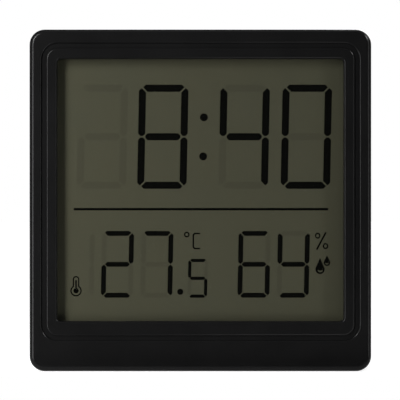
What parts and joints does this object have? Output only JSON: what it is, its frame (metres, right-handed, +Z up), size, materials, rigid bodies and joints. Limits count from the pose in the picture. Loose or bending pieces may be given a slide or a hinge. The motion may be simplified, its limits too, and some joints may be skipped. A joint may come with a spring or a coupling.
{
  "type": "digital clock with thermometer and hygrometer",
  "caption": "Square black digital clock with a segment display for time, temperature and humidity; battery bay, folding stand, wall keyhole and push buttons on the back.",
  "frame": {"origin": "middle of the base, half way between front and back", "axes": "+Z up, +X to the right seen from the front, the display faces -Y"},
  "size_m": [0.09, 0.022, 0.09],
  "materials": {
    "case_plastic": "fine satin black moulded plastic",
    "button_plastic": "satin black",
    "clear_lens": "clear polished acrylic",
    "display_film": "olive grey satin film",
    "display_glass": "clear flat glass",
    "edge_seal": "translucent adhesive",
    "reflector_film": "satin reflector",
    "foam_tape": "black foam",
    "carrier_plastic": "black moulded plastic",
    "zebra_rubber": "layered silicone",
    "board_laminate": "green solder mask",
    "black_epoxy": "black epoxy",
    "chip_ceramic": "tan ceramic",
    "sensor_plastic": "white plastic frame",
    "switch_plastic": "dark switch plastic",
    "bright_metal": "nickel plated steel",
    "screw_steel": "zinc plated steel",
    "cell_jacket": "plain printed jacket",
    "red_insulation": "red insulation",
    "black_insulation": "black insulation"
  },
  "bodies": {
    "case": {"front_case": "case_plastic", "rear_case": "case_plastic", "lens_tape": "foam_tape", "display_lens": "clear_lens", "dust_gasket": "foam_tape", "lcd_front_polariser": "display_film", "lcd_front_glass": "display_glass", "lcd_seal": "edge_seal", "lcd_rear_glass": "display_glass", "lcd_reflector": "reflector_film", "lcd_carrier": "carrier_plastic", "zebra_strip": "zebra_rubber", "main_board": "board_laminate", "controller_blob": "black_epoxy", "watch_crystal": "bright_metal", "chip_capacitors": "chip_ceramic", "humidity_sensor": "sensor_plastic", "thermistor": "black_epoxy", "tact_switches": "switch_plastic", "battery_cell": "cell_jacket", "battery_spring": "bright_metal", "negative_contact": "bright_metal", "positive_contact": "bright_metal", "red_lead": "red_insulation", "black_lead": "black_insulation", "case_screws": "screw_steel", "board_screws": "screw_steel"},
    "stand": {"stand": "case_plastic"},
    "battery_door": {"battery_door": "case_plastic"},
    "mode_button": {"mode_button": "button_plastic", "mode_switch_key": "switch_plastic"},
    "up_button": {"up_button": "button_plastic", "up_switch_key": "switch_plastic"},
    "down_button": {"down_button": "button_plastic", "down_switch_key": "switch_plastic"}
  },
  "joints": [
    {"name": "stand_hinge", "type": "hinge", "parent": "case", "child": "stand", "pos_m": [0, 0.0096, 0.04395], "axis": [1, 0, 0], "range_deg": [0, 33]},
    {"name": "battery_door_tilt", "type": "hinge", "parent": "case", "child": "battery_door", "pos_m": [0, 0.0106, 0.05115], "axis": [-1, 0, 0], "range_deg": [0, 60]},
    {"name": "mode_press", "type": "slide", "parent": "case", "child": "mode_button", "axis": [0, -1, 0], "range_m": [0, 0.00035], "stiffness_N_per_m": 1500, "springref_m": -0.0002},
    {"name": "up_press", "type": "slide", "parent": "case", "child": "up_button", "axis": [0, -1, 0], "range_m": [0, 0.00035], "stiffness_N_per_m": 1500, "springref_m": -0.0002},
    {"name": "down_press", "type": "slide", "parent": "case", "child": "down_button", "axis": [0, -1, 0], "range_m": [0, 0.00035], "stiffness_N_per_m": 1500, "springref_m": -0.0002}
  ]
}
